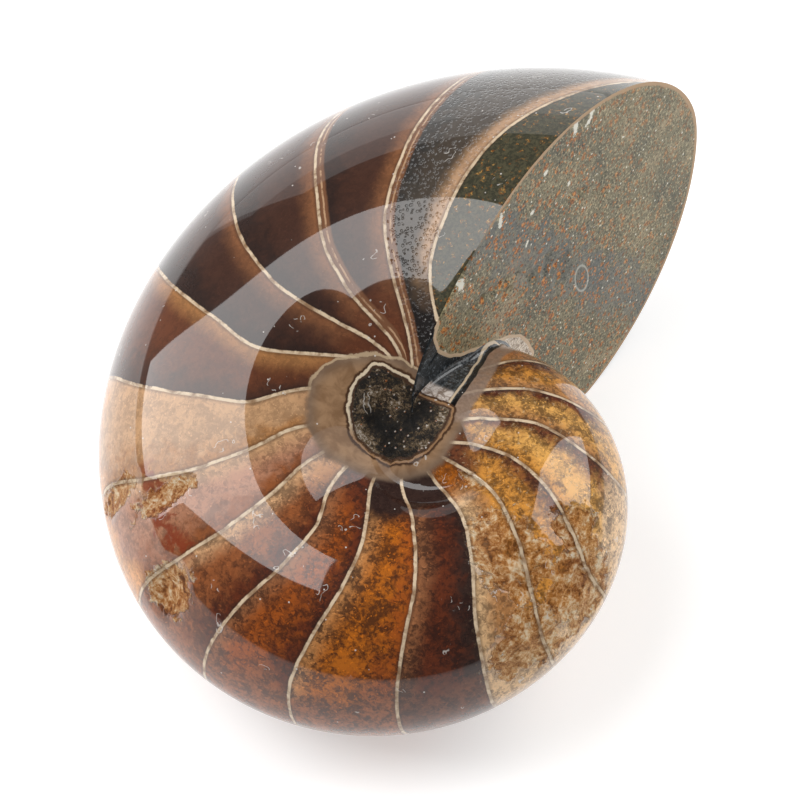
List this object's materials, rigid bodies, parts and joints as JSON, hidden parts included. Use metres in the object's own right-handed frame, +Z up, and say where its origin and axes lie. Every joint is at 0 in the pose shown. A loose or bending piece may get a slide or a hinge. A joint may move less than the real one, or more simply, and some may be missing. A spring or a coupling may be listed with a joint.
{
  "type": "fossil nautilus",
  "caption": "Polished fossil nautilus, a coiled shell turned to stone and sawn flat across its last whorl, lying on its flank.",
  "frame": {"origin": "under the middle of the fossil's box, on the surface it lies on", "axes": "+Z up with the fossil lying on its flank, -Y towards the viewer of the picture, +X to the viewer's right"},
  "size_m": [0.07, 0.0766, 0.0476],
  "materials": {
    "polished_stone": "polished stone, amber to dark brown with cream lines, satin grey-green on the sawn face"
  },
  "bodies": {
    "root": {"nautilus": "polished_stone"}
  },
  "joints": []
}
